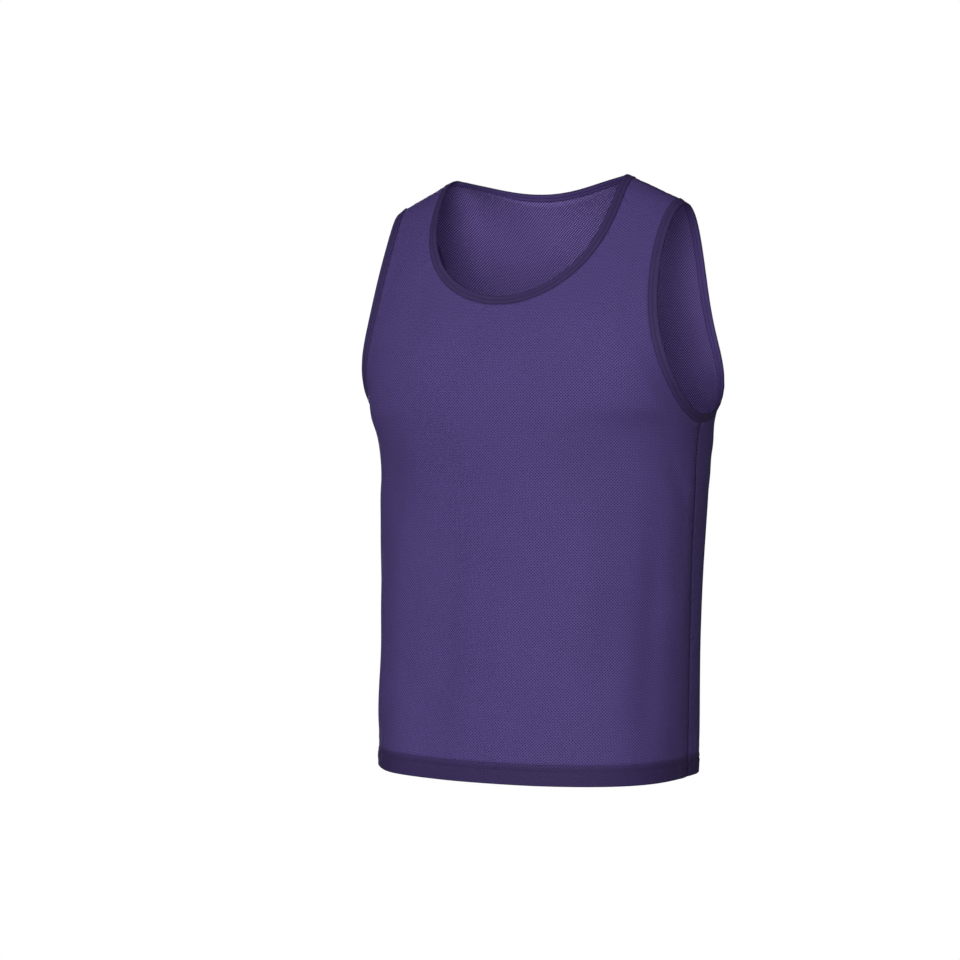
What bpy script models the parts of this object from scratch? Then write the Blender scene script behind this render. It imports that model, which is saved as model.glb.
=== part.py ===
"""Training bib: a sleeveless mesh top, filled out as if worn. Metres, +Z up, +X is the wearer's left.

The front faces -Y. The origin is midway between the two shoulder straps, level with the neck end of
each shoulder seam, where the wearer's shoulders hold the bib up.

Each panel is cut as a flat pattern. A place on it is (across, height): the distance from the centre
line along the level section of the body, and the height of that section.
"""

import math
from collections import namedtuple

import bmesh
import bpy
import numpy as np
from mathutils import Vector

# Walls, and the gap between neighbouring pieces.
MESH_WALL = 0.0012
TAPE_WALL = 0.0009
HEM_WALL = 0.0026
GAP = 0.0003
GRIP_GAP = 0.0005
MERGE = 0.00001

# Cut of the panels. Their neck and armhole edges end inside the bindings.
LENGTH = 0.647
HEM_WIDTH = 0.024
HEM_STEP = 0.001
NECK_HALF_WIDTH = 0.1097
SHOULDER_TIP = 0.1650
UNDERARM = -0.2654

# Bindings: a folded tape this wide, of which this much grips the panel's edge.
BINDING_WIDTH = 0.0100
GRIP = 0.0026
FOLD_ROUND = 0.0015

# The general figure that the cloth is filled out to, one row for each level. Depths and the side
# seam's place are measured from the plane through both shoulder seams, towards the back for seam_back.
SECTION_COLUMNS = ("height", "half_width", "front_depth", "back_depth", "seam_back")
SECTIONS = (
    (-0.647, 0.1785, 0.138, 0.114, -0.006),  # hem
    (-0.485, 0.1800, 0.125, 0.111, -0.003),  # belly
    (-0.362, 0.1823, 0.119, 0.126, 0.002),  # waist
    (-0.249, 0.1942, 0.127, 0.140, 0.001),  # chest
    (-0.181, 0.2230, 0.1325, 0.124, 0.004),  # over the armholes
    (0.000, 0.2496, 0.098, 0.119, 0.006),  # shoulders, past the cloth
)
COLUMN = {name: [row[i] for row in SECTIONS] for i, name in enumerate(SECTION_COLUMNS)}

# The line over each shoulder: its fall for each metre outwards, the place where it is level with the
# origin, and how far it dips between them. The back's neck edge is stretched nearly straight from strap
# to strap, so its line dips further and turns the corner at the straps within TAUT_ROUND of height.
SHOULDER_SLOPE = -0.48
LEVEL_AT = 0.1023
RIDGE_AT_CENTRE = -0.002
TAUT_DIP = 0.0115
TAUT_POWER = 2.0
TAUT_ROUND = 0.0052

# One row for each panel. roundness is the section's squareness, and 2 is an ellipse. From fold_from up
# the panel bends over to the shoulder, the more suddenly the larger fold_power is, which centre_ease
# lessens within EASE_REACH of the centre. The neck edge goes by powers of a quarter turn. The armhole
# leaves the shoulder tip downwards by arm_down, moving out by arm_out, and reaches the underarm from
# arm_reach inside the seam, arm_dip lower. The row of the grid from the neck's middle to the underarm
# sags down to join_level between them.
Cut = namedtuple("Cut", "facing depth roundness fold_from fold_power centre_ease neck_drop neck_across "
                        "neck_down arm_down arm_out arm_reach arm_dip join_level")
FRONT = Cut(-1, "front_depth", 2.38, -0.260, 1.75, 0, 0.1404, 1.03, 0.74, 0.038, -0.017, 0.094, 0.006, -0.32)
BACK = Cut(1, "back_depth", 2.68, -0.205, 1.75, 0.40, 0.0230, 1.0, 3.6, 0.107, -0.025, 0.105, 0.003, -0.32)
EASE_REACH = 0.075

# The largest soft folds, each the same on both sides: the middle of the place where the cloth sinks in,
# how far it reaches each way across and up, and the share of the section's depth that it takes off.
Fold = namedtuple("Fold", "facing across height reach_across reach_up share")
FOLDS = (
    Fold(-1, 0.150, -0.330, 0.060, 0.060, 0.055),  # under the chest
    Fold(-1, 0.110, -0.530, 0.040, 0.110, 0.035),  # down the front
    Fold(1, 0.090, -0.480, 0.045, 0.120, 0.040),  # down the back
)

# Rows and columns of a half panel's grid, and how sharply its rows turn up at the centre and the side.
HEM_ROWS = 2
BODY_ROWS = 14
YOKE_ROWS = 18
UNDERARM_CROWDING = 1.3
COLUMNS = 14
CENTRE_TURN = 2.5
SIDE_TURN = 3
SAMPLES = 160

MESH_PURPLE = (0.080, 0.054, 0.180, 1.0)
TAPE_PURPLE = (0.045, 0.029, 0.098, 1.0)
MESH_ROUGHNESS = 0.8
TAPE_ROUGHNESS = 0.75
SHARP_ANGLE = math.radians(50)


def level(name, height):
    """A column of SECTIONS at any height, smoothly between its rows."""
    heights = np.array(COLUMN["height"])
    values = np.array(COLUMN[name])
    slopes = np.gradient(values, heights)
    height = np.clip(height, heights[0], heights[-1])
    i = np.clip(np.searchsorted(heights, height, side="right") - 1, 0, len(heights) - 2)
    step = heights[i + 1] - heights[i]
    t = (height - heights[i]) / step
    start = (1 + 2 * t) * (1 - t) ** 2 * values[i] + t * (1 - t) ** 2 * step * slopes[i]
    end = t**2 * (3 - 2 * t) * values[i + 1] + t**2 * (t - 1) * step * slopes[i + 1]
    return start + end


def ridge(cut, x):
    """Height of the line over the shoulders that a panel reaches, at x from the centre."""
    t = np.abs(x) / LEVEL_AT
    inner = RIDGE_AT_CENTRE * (1 - t**2 * (3 - 2 * t)) + SHOULDER_SLOPE * LEVEL_AT * t**2 * (t - 1)
    crest = np.where(t > 1, SHOULDER_SLOPE * (np.abs(x) - LEVEL_AT), inner)
    if cut.facing < 0:
        return crest
    taut = TAUT_DIP * (t**TAUT_POWER - 1)
    corner = np.maximum(TAUT_ROUND - np.abs(crest - taut), 0)
    return np.minimum(crest, taut) - corner**2 / (4 * TAUT_ROUND)


def quarter_section(cut, height):
    """x, depth and distance across, from the centre line to the side seam, at one height."""
    turn = np.linspace(0, math.pi / 2, SAMPLES)
    x = level("half_width", height) * np.sin(turn) ** (2 / cut.roundness)
    depth = level(cut.depth, height) * np.cos(turn) ** (2 / cut.roundness)
    across = np.concatenate(([0], np.cumsum(np.hypot(np.diff(x), np.diff(depth)))))
    return x, depth, across


def half_girth(cut, height):
    return quarter_section(cut, height)[2][-1]


def across_at(cut, x, height):
    """Distance across the panel at which it is x from the centre plane."""
    section_x, _, across = quarter_section(cut, height)
    return np.interp(x, section_x, across)


def sunk_share(cut, across, height):
    """The share of the depth that the soft folds take off at one place."""
    share = 0.0
    for fold in FOLDS:
        if fold.facing == cut.facing:
            sideways = (across - fold.across) / fold.reach_across
            upwards = (height - fold.height) / fold.reach_up
            share += fold.share * math.exp(-(sideways**2) - upwards**2)
    return share


def place(cut, across, height):
    """The point in space of one place on the panel's outer face."""
    section_x, section_depth, section_across = quarter_section(cut, height)
    x = np.interp(across, section_across, section_x)
    depth = np.interp(across, section_across, section_depth) * (1 - sunk_share(cut, across, height))
    rise = np.clip((height - cut.fold_from) / (ridge(cut, x) - cut.fold_from), 0, 1)
    power = cut.fold_power - cut.centre_ease * np.exp(-((x / EASE_REACH) ** 2))
    fold = (1 - rise**power) ** (1 / power)
    y = (level("seam_back", height) + cut.facing * depth) * fold
    return x, y + cut.facing * GAP / 2, height


def evenly(cut, pattern, shares):
    """Places along a pattern line at these shares of its length in space."""
    points = np.array([place(cut, *spot) for spot in pattern])
    steps = np.linalg.norm(np.diff(points, axis=0), axis=1)
    length = np.concatenate(([0], np.cumsum(steps)))
    wanted = np.asarray(shares) * length[-1]
    return np.stack([np.interp(wanted, length, pattern[:, k]) for k in (0, 1)], axis=1)


def neck_line(cut):
    """Pattern line of the neck edge, from the centre to the shoulder seam."""
    turn = np.linspace(0, math.pi / 2, SAMPLES)
    x = NECK_HALF_WIDTH * np.sin(turn) ** cut.neck_across
    end = ridge(cut, NECK_HALF_WIDTH)
    height = end - (cut.neck_drop + end) * np.cos(turn) ** cut.neck_down
    height = np.minimum(height, ridge(cut, x))
    return np.array([(across_at(cut, a, h), h) for a, h in zip(x, height)])


def shoulder_line(cut):
    """Pattern line of the shoulder seam, from the neck to the armhole."""
    x = np.linspace(NECK_HALF_WIDTH, SHOULDER_TIP, SAMPLES)
    return np.array([(across_at(cut, a, h), h) for a, h in zip(x, ridge(cut, x))])


def armhole_line(cut):
    """Pattern line of the armhole, a Bezier curve from the underarm up to the shoulder tip."""
    tip = shoulder_line(cut)[-1]
    pit = np.array([half_girth(cut, UNDERARM), UNDERARM])
    low = pit - (cut.arm_reach, cut.arm_dip)
    high = tip + (cut.arm_out, -cut.arm_down)
    t = np.linspace(0, 1, SAMPLES)[:, None]
    return (1 - t) ** 3 * pit + 3 * (1 - t) ** 2 * t * low + 3 * (1 - t) * t**2 * high + t**3 * tip


def column_shares():
    """Shares of the way across at which the columns stand."""
    return np.linspace(0, 1, COLUMNS + 1)


def body_pattern(cut):
    """Pattern places below the neck and the underarm: level rows at the hem, sagging further up."""
    fold_top = HEM_WIDTH - LENGTH
    start = fold_top + HEM_STEP
    columns = []
    for share in column_shares():
        centre_rise = (-cut.neck_drop - cut.join_level) * (1 - share) ** CENTRE_TURN
        side_rise = (UNDERARM - cut.join_level) * share**SIDE_TURN
        rows = np.linspace(start, cut.join_level + centre_rise + side_rise, BODY_ROWS)
        heights = np.concatenate(((-LENGTH, fold_top), rows))
        columns.append([(share * half_girth(cut, height), height) for height in heights])
    return np.array(columns)


def yoke_pattern(cut, bottom):
    """Pattern places above the row called bottom, blended between the four edges."""
    t = np.linspace(0, 1, SAMPLES)
    top = evenly(cut, shoulder_line(cut), column_shares())
    neck = evenly(cut, neck_line(cut), t)
    armhole = evenly(cut, armhole_line(cut), t)
    u = column_shares()[:, None, None]
    t = t[None, :, None]
    bottom, top = bottom[:, None], top[:, None]
    corners = (1 - u) * ((1 - t) * bottom[0] + t * top[0]) + u * ((1 - t) * bottom[-1] + t * top[-1])
    blend = (1 - u) * neck[None] + u * armhole[None] + (1 - t) * bottom + t * top - corners
    shares = np.linspace(0, 1, YOKE_ROWS + 1)[1:] ** UNDERARM_CROWDING
    return np.array([evenly(cut, line, shares) for line in blend])


def half_panel(cut):
    """Outer points of the half panel on the wearer's left: [column, row, 3]."""
    body = body_pattern(cut)
    pattern = np.concatenate((body, yoke_pattern(cut, body[:, -1])), axis=1)
    return np.array([[place(cut, *spot) for spot in column] for column in pattern])


def outward(points, cut):
    """Unit normals of a half panel's grid, kept in the plane of symmetry and of the seams there."""
    body = slice(0, HEM_ROWS + BODY_ROWS)
    across = np.gradient(points, axis=0)
    across[0, body] = points[1, body] * (1, 0, 0)
    up = np.gradient(points, axis=1)
    normal = np.cross(across, up) * -cut.facing
    normal[0, body, 0] = 0
    normal[-1, body, 1] = 0
    normal[:, -1, 1] = 0
    return normal / np.linalg.norm(normal, axis=2, keepdims=True)


def add_grid(sheet, points):
    """Adds a grid whose vertices are moved to points[column, row]."""
    columns, rows = points.shape[0] - 1, points.shape[1] - 1
    grid = bmesh.ops.create_grid(sheet, x_segments=columns, y_segments=rows, size=1)
    for vertex in grid["verts"]:
        spot = (round((vertex.co.x + 1) / 2 * columns), round((vertex.co.y + 1) / 2 * rows))
        vertex.co = Vector(points[spot])


def walled_panel(outer, inner):
    """Both faces of a panel, mirrored to the wearer's right and joined round their rim."""
    solid = bmesh.new()
    add_grid(solid, outer)
    add_grid(solid, inner)
    half = solid.verts[:] + solid.edges[:] + solid.faces[:]
    bmesh.ops.mirror(solid, geom=half, axis="X", merge_dist=MERGE)
    bmesh.ops.bridge_loops(solid, edges=[edge for edge in solid.edges if edge.is_boundary])
    bmesh.ops.recalc_face_normals(solid, faces=solid.faces)
    face_outwards(solid)
    return solid


def face_outwards(solid):
    if solid.calc_volume(signed=True) < 0:
        bmesh.ops.reverse_faces(solid, faces=solid.faces)


def add_solid(name, solid, material, collection):
    mesh = bpy.data.meshes.new(name)
    solid.to_mesh(mesh)
    solid.free()
    mesh.materials.append(material)
    mesh.shade_smooth()
    mesh.set_sharp_from_angle(angle=SHARP_ANGLE)
    collection.objects.link(bpy.data.objects.new(name, mesh))


def add_panel(name, cut, material, collection):
    """One panel with its turned-up hem. Returns its half grid of points and normals."""
    points = half_panel(cut)
    normals = outward(points, cut)
    thickness = np.full(points.shape[1], MESH_WALL)
    thickness[:HEM_ROWS] = HEM_WALL
    inner = points - normals * thickness[None, :, None]
    add_solid(name, walled_panel(points, inner), material, collection)
    return points, normals


def binding_section(edge, outside, to_opening):
    """A tape folded over the panel's edge, with a groove that it grips the edge in, as one closed section."""
    reach = BINDING_WIDTH - GRIP
    high = GRIP_GAP + TAPE_WALL
    low = -MESH_WALL - high
    groove_top = GRIP_GAP
    groove_bottom = -MESH_WALL - GRIP_GAP
    offsets = (
        (-GRIP, high),
        (reach - FOLD_ROUND, high),
        (reach, -MESH_WALL / 2),
        (reach - FOLD_ROUND, low),
        (-GRIP, low),
        (-GRIP, groove_bottom),
        (GAP, groove_bottom),
        (GAP, groove_top),
        (-GRIP, groove_top),
    )
    return [edge + to_opening * along + outside * out for along, out in offsets]


def ring_sections(edge, cloth, outside):
    """Sections of a binding all round a closed edge, each in line with the cloth just inside it."""
    along = unit(np.roll(edge, -1, axis=0) - np.roll(edge, 1, axis=0))
    to_opening = edge - cloth
    to_opening = unit(to_opening - along * (to_opening * along).sum(axis=1)[:, None])
    square = np.cross(along, to_opening)
    square *= np.sign((square * outside).sum(axis=1))[:, None]
    return np.array([binding_section(*station) for station in zip(edge, square, to_opening)])


def add_ring(name, sections, material, collection):
    """A closed tube, made from a torus whose points are moved to the sections."""
    bpy.ops.mesh.primitive_torus_add(major_segments=len(sections), minor_segments=len(sections[0]))
    torus = bpy.context.object
    tube = bmesh.new()
    tube.from_mesh(torus.data)
    bpy.data.objects.remove(torus)
    for vertex, point in zip(tube.verts, sections.reshape(-1, 3)):
        vertex.co = Vector(point)
    face_outwards(tube)
    add_solid(name, tube, material, collection)


def joined_edge(front, back):
    """The front's edge, one seam point midway, then the back's edge away from the seam."""
    middle = (front[-1:] + back[-1:]) / 2
    return np.concatenate((front[:-1], middle, back[-2::-1]))


def unit(vectors):
    return vectors / np.linalg.norm(vectors, axis=1)[:, None]


def edge_lines(panels, column, beside):
    """Edge points, the cloth beside them and their normals, up the front panel and down the back."""
    first = HEM_ROWS + BODY_ROWS - 1
    runs = [(points[column, first:], points[beside, first:], normals[column, first:])
            for points, normals in panels]
    return [joined_edge(*pair) for pair in zip(*runs)]


def neck_sections(panels):
    """Sections round the neck, from the centre front by the wearer's left and back by the right."""
    edge, cloth, outside = edge_lines(panels, 0, 1)
    cloth[[0, -1], 0] = 0
    lines = [np.concatenate((line, line[-2:0:-1] * (-1, 1, 1))) for line in (edge, cloth, outside)]
    return ring_sections(*lines)


def armhole_sections(panels):
    """Sections round the left armhole, from the underarm up the front and down the back."""
    lines = edge_lines(panels, -1, -2)
    return ring_sections(*(np.concatenate(((line[:1] + line[-1:]) / 2, line[1:-1])) for line in lines))


def cloth_material(name, colour, roughness):
    material = bpy.data.materials.new(name)
    material.use_nodes = True
    shader = material.node_tree.nodes["Principled BSDF"]
    shader.inputs["Base Color"].default_value = colour
    shader.inputs["Roughness"].default_value = roughness
    shader.inputs["Metallic"].default_value = 0.0
    return material


def mesh_cloth(name):
    return cloth_material(name, MESH_PURPLE, MESH_ROUGHNESS)


def tape_cloth(name):
    return cloth_material(name, TAPE_PURPLE, TAPE_ROUGHNESS)


def clear_scene():
    for obj in list(bpy.data.objects):
        bpy.data.objects.remove(obj)


def main():
    clear_scene()
    collection = bpy.data.collections.new("training_bib")
    bpy.context.scene.collection.children.link(collection)
    front = add_panel("front_panel", FRONT, mesh_cloth("front_mesh"), collection)
    back = add_panel("back_panel", BACK, mesh_cloth("back_mesh"), collection)
    neck = neck_sections((front, back))
    add_ring("neck_binding", neck, tape_cloth("neck_tape"), collection)
    left = armhole_sections((front, back))
    right = left * (-1, 1, 1)
    add_ring("armhole_binding_left", left, tape_cloth("left_armhole_tape"), collection)
    add_ring("armhole_binding_right", right, tape_cloth("right_armhole_tape"), collection)


main()
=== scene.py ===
"""Looks of the training bib: its mesh cloth, bindings, hem and stitches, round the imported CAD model.

Metres, +Z up, +X is the wearer's left and the front faces -Y. A place on a panel is (across, height): the
distance from the centre line along the level section of the body, plus towards the wearer's left, and the
height of that section. The sizes of the cut and of the figure are those of the CAD model.
"""

import math
from collections import namedtuple

import bmesh
import bpy
import numpy as np
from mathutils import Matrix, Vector


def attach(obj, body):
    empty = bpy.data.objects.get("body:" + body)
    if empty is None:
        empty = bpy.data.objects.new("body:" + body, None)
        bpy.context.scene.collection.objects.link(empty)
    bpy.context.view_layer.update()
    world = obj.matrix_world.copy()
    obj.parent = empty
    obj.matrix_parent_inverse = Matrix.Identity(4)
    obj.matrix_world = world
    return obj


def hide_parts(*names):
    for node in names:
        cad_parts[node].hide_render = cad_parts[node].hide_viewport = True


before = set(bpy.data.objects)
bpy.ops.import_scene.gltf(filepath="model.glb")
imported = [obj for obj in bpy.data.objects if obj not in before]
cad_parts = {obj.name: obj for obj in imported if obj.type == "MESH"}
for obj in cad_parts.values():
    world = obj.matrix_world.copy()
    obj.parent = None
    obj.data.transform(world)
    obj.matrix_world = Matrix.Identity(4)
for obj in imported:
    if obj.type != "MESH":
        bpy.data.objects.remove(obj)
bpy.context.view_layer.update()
BODY = "root"

# Cut of the panels, as in the CAD model.
LENGTH = 0.647
HEM_WIDTH = 0.024
NECK_HALF_WIDTH = 0.1097
SHOULDER_TIP = 0.165
UNDERARM = -0.2654
SEAM_GAP = 0.0003

# The general figure: depths are measured from the plane through both shoulder seams.
SECTION_COLUMNS = ("height", "half_width", "front_depth", "back_depth", "seam_back")
SECTIONS = (
    (-0.647, 0.1785, 0.138, 0.114, -0.006),  # hem
    (-0.485, 0.18, 0.125, 0.111, -0.003),  # belly
    (-0.362, 0.1823, 0.119, 0.126, 0.002),  # waist
    (-0.249, 0.1942, 0.127, 0.14, 0.001),  # chest
    (-0.181, 0.223, 0.1325, 0.124, 0.004),  # over the armholes
    (0.000, 0.2496, 0.098, 0.119, 0.006),  # shoulders, past the cloth
)
COLUMN = dict(zip(SECTION_COLUMNS, zip(*SECTIONS)))
SHOULDER_SLOPE = -0.48
LEVEL_AT = 0.1023
RIDGE_AT_CENTRE = -0.002
TAUT_DIP = 0.0115
TAUT_POWER = 2.0
TAUT_ROUND = 0.0052

# One row for each panel: the roundness of its sections, how it bends over to the shoulder, its neck
# edge, its armhole edge, and how far the row from the neck to the underarm sags.
Cut = namedtuple("Cut", "facing depth roundness fold_from fold_power centre_ease neck_drop neck_across "
                        "neck_down arm_down arm_out arm_reach arm_dip join_level")
FRONT = Cut(-1, "front_depth", 2.38, -0.26, 1.75, 0, 0.1404, 1.03, 0.74, 0.038, -0.017, 0.094, 0.006, -0.32)
BACK = Cut(1, "back_depth", 2.68, -0.205, 1.75, 0.4, 0.023, 1.0, 3.6, 0.107, -0.025, 0.105, 0.003, -0.32)
EASE_REACH = 0.075

# The largest soft folds, the same on both sides: the panel (-1 front, 1 back), where the cloth sinks in, its
# reach each way, and the share of the section's depth that it takes off.
Fold = namedtuple("Fold", "facing across height reach_across reach_up share")
FOLDS = (
    Fold(-1, 0.15, -0.33, 0.06, 0.06, 0.055),  # under the chest
    Fold(-1, 0.11, -0.53, 0.04, 0.11, 0.035),  # down the front
    Fold(1, 0.09, -0.48, 0.045, 0.12, 0.04),  # down the back
)

# Soft creases along a line on a panel: where each starts and ends, its reach to the left and the right hand
# of its run (above and below it, for a run towards the wearer's left), and its depth, below 0 for a trough.
Crease = namedtuple("Crease", "across_from height_from across_to height_to reach_left reach_right depth")
FRONT_CREASES = (
    (0.1, -0.248, 0.225, -0.252, 0.045, 0.017, 0.0052),  # edge of the chest, wearer's left
    (0.1, -0.318, 0.23, -0.31, 0.046, 0.085, -0.005),
    (-0.215, -0.266, -0.105, -0.25, 0.045, 0.016, 0.0034),  # edge of the chest, wearer's right
    (-0.225, -0.318, -0.12, -0.325, 0.04, 0.07, -0.0034),
    (0.02, -0.262, 0.11, -0.25, 0.04, 0.022, 0.0014),
    (-0.064, -0.61, -0.052, -0.35, 0.034, 0.026, -0.0052),  # down the belly, wearer's right
    (0.02, -0.6, 0.012, -0.38, 0.016, 0.024, 0.0016),
    (-0.12, -0.6, -0.13, -0.4, 0.018, 0.022, 0.0018),
    (0.106, -0.61, 0.096, -0.35, 0.024, 0.026, 0.0034),  # down the belly, wearer's left
    (0.176, -0.6, 0.18, -0.36, 0.018, 0.016, -0.003),
    (-0.19, -0.58, -0.196, -0.42, 0.016, 0.018, -0.0018),
    (0.195, -0.3, 0.225, -0.352, 0.01, 0.012, -0.0016),  # from under the left arm
    (-0.222, -0.292, -0.2, -0.34, 0.01, 0.012, -0.0014),
    (0.07, -0.612, 0.02, -0.56, 0.012, 0.014, -0.001),
    (-0.215, -0.63, -0.15, -0.59, 0.014, 0.012, -0.0016),
    (0.085, -0.07, 0.075, -0.145, 0.013, 0.011, -0.0008),  # down the left strap
    (-0.1, -0.08, -0.1, -0.165, 0.011, 0.012, -0.0008),  # down the right strap
    (-0.214, -0.3, -0.205, -0.44, 0.034, 0.034, 0.003),  # fuller beside the waist
)
BACK_CREASES = (
    (-0.02, -0.6, -0.04, -0.33, 0.022, 0.026, -0.0026),  # down the back
    (0.052, -0.61, 0.058, -0.39, 0.018, 0.024, 0.0022),
    (0.13, -0.6, 0.15, -0.34, 0.02, 0.016, -0.0028),
    (-0.125, -0.59, -0.14, -0.38, 0.02, 0.022, 0.0024),
    (-0.19, -0.6, -0.185, -0.4, 0.015, 0.018, -0.002),
    (-0.15, -0.25, 0.02, -0.262, 0.03, 0.036, 0.0022),  # under the shoulder blades
    (0.06, -0.268, 0.2, -0.246, 0.034, 0.026, 0.0024),
    (-0.21, -0.29, -0.12, -0.35, 0.014, 0.018, -0.0022),  # from under the right arm
    (0.215, -0.3, 0.15, -0.35, 0.016, 0.013, -0.002),
    (0.03, -0.1, 0.075, -0.185, 0.02, 0.018, -0.0014),
    (-0.045, -0.095, -0.07, -0.2, 0.018, 0.022, -0.0012),
    (0.19, -0.625, 0.12, -0.58, 0.014, 0.016, -0.0016),
    (0.205, -0.275, 0.205, -0.335, 0.032, 0.032, 0.0032),  # fuller beside the waist
)

# The grid of half a panel: even columns, then closer ones up to the side seam; rows of the hem, of the
# body and of the yoke.
EVEN_COLUMNS = 78
EDGE_SHARES = (0.993, 0.996, 0.9982, 1.0)
EVEN_UP_TO = 0.9895
HEM_ROWS = 17
BODY_ROWS = 114
YOKE_START = HEM_ROWS + BODY_ROWS - 1
YOKE_ROWS = 108
UNDERARM_CROWDING = 1.15
CENTRE_TURN = 2.5
SIDE_TURN = 3
SAMPLES = 240
WELD = 2e-6

# Thickness of the cloth, of its doubled hem and of the tape, and the rows round the hem's fold.
CLOTH = 0.00055
HEM_CLOTH = 0.0016
TAPE = 0.0006
FOLD_ROWS = 5

# Bindings: width on each face, reach over the panel and height over the cloth; the tape's low crown and the
# dip along its stitches; round its section, one face and the turn at its fold; the ring's step, and over
# how many steps its line and its turn are evened; and the panels' columns at their edge and beside it.
BINDING_WIDTH = 0.01
GRIP = 0.0026
TAPE_LIFT = 0.00045
TAPE_COLUMNS = 14
TAPE_FOLD_COLUMNS = 7
TAPE_CROWN = 0.00012
TAPE_DIP = 0.0003
TAPE_DIP_REACH = 0.0007
TAPE_FACE = 0.0091
TAPE_TURN = 0.0032
RING_STEP = 0.0016
EDGE_ROUNDING = 3
TURN_ROUNDING = 5
ARM_COLUMNS = (-1, -4)
NECK_COLUMNS = (0, 2)

# Seams: how far they sink in and pull the cloth, and the allowances inside the back with their two flanks.
SEAM_DIP = 0.0007
SEAM_REACH = 0.0018
SEAM_PULL = 0.0013
SEAM_PULL_REACH = 0.012
ALLOWANCE = 0.008
ALLOWANCE_CLOTH = 0.0009
ALLOWANCE_EDGE = 0.0008
ALLOWANCE_LIFT = 0.0004
ALLOWANCE_RISE = (0.001, 0.003)
ALLOWANCE_FALL = (0.01, 0.008)

# Openings: the armhole pulled in beside the chest, and a groove under the tapes' edges that fades at the
# shoulder.
ARM_PULL = 0.0025
ARM_PULL_HEIGHT = -0.155
ARM_PULL_REACH = 0.035
ARM_PULL_SPAN = 0.045
GROOVE = 0.0005
GROOVE_REACH = 0.0022
GROOVE_FREE = 0.02

# Stitches, and the hem's two lines of them above its edge.
HEM_LINES = (0.021, 0.015)
HEM_LINE_DIP = 0.00045
HEM_LINE_REACH = 0.0011
HEM_STITCH_LIFT = 0.0001
TAPE_STITCH_DIP = 0.0001
STITCH_PITCH = 0.003
STITCH_LENGTH = 0.0024
STITCH_LOOK_AHEAD = 0.0005
STITCH_END = 0.12
THREAD = 0.00022

# Slow swells all over the cloth, which die away beside the seams and the neck.
SEED = 7
SWELL = 0.0006
SWELL_WAVELENGTH = 0.11
SWELL_SEED = 3
CALM_BESIDE_SEAMS = 0.03
CALM_BESIDE_NECK = 0.025

# Uneven small waves along an edge: their height and wavelength, where their middle lies, and their reach.
Ripple = namedtuple("Ripple", "height wavelength from_edge reach seed")
HEM_SWAY = Ripple(0.0012, 0.12, 0.0, 0.07, 20)
SIDE_PUCKERS = {-1: Ripple(0.0004, 0.011, 0.005, 0.008, 30), 1: Ripple(0.0005, 0.011, 0.005, 0.008, 30)}
SHOULDER_PUCKERS = Ripple(0.0001, 0.01, 0.005, 0.005, 40)
ARM_PUCKERS = Ripple(0.0003, 0.011, 0.007, 0.006, 30)
NECK_PUCKERS = Ripple(0.0003, 0.012, 0.007, 0.006, 50)
HEM_PUCKERS = Ripple(0.00035, 0.0095, 0.012, 0.008, 60)
OVER_HEM_PUCKERS = Ripple(0.0003, 0.013, 0.029, 0.005, 70)
RIPPLE_STRETCHES = (0.8, 1.0, 1.27, 1.9)
PUCKERS_FROM = 0.004
HEM_LEAN = 0.6

# The bake's chart, one square: its side in metres of cloth, the panels' places on it, and its margin.
CHART_SPAN = 1.2
CHART_MIDDLE = 0.3
CHART_FOOT = 0.05
CHART_MARGIN = 0.02

# The camera of the photograph, found by fitting the bib's outline, and its view in pixels.
PHOTO_SIDE = 960
FOCAL_PIXELS = 2555.0
CAMERA_AZIMUTH = 24.34
CAMERA_DISTANCE = 2.811
CAMERA_HEIGHT = -0.2467
AXIS_COLUMN = 539.7
HORIZON_ROW = 402.3
SENSOR = 36.0

# Soft lamps round the bib's middle: azimuth from the front towards its left, elevation, size and watts. The
# lamp behind lights the back and the inside of the front. The sky adds an even fill.
MIDDLE = Vector((0, 0, -0.33))
LAMP_DISTANCE = 3.2
Lamp = namedtuple("Lamp", "azimuth elevation size power")
LAMPS = {
    "high_front": Lamp(14, 20, 1.2, 28.5),
    "low_front": Lamp(15, -8, 1.2, 20.5),
    "level_front": Lamp(8, 0, 1.4, 13.5),
    "high_right": Lamp(-15, 40, 1.6, 14.5),
    "right_side": Lamp(-40, 15, 1.6, 7.5),
    "left_side": Lamp(48, 0, 1.2, 7.5),
    "behind": Lamp(212, 10, 1.6, 88.0),
    "back_left": Lamp(130, 10, 1.6, 7.0),
}
FILL = 0.07
WHITE = (1, 1, 1, 1)
FLOOR_HEIGHT = -1.4
FLOOR_RADIUS = 14
FLOOR_GREY = (0.25, 0.25, 0.25, 1)


def level(name, height):
    """A column of SECTIONS at any height, smoothly between its rows."""
    heights = np.array(COLUMN["height"])
    values = np.array(COLUMN[name])
    slopes = np.gradient(values, heights)
    height = np.clip(height, heights[0], heights[-1])
    i = np.clip(np.searchsorted(heights, height, side="right") - 1, 0, len(heights) - 2)
    step = heights[i + 1] - heights[i]
    t = (height - heights[i]) / step
    start = (1 + 2 * t) * (1 - t) ** 2 * values[i] + t * (1 - t) ** 2 * step * slopes[i]
    end = t**2 * (3 - 2 * t) * values[i + 1] + t**2 * (t - 1) * step * slopes[i + 1]
    return start + end


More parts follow.
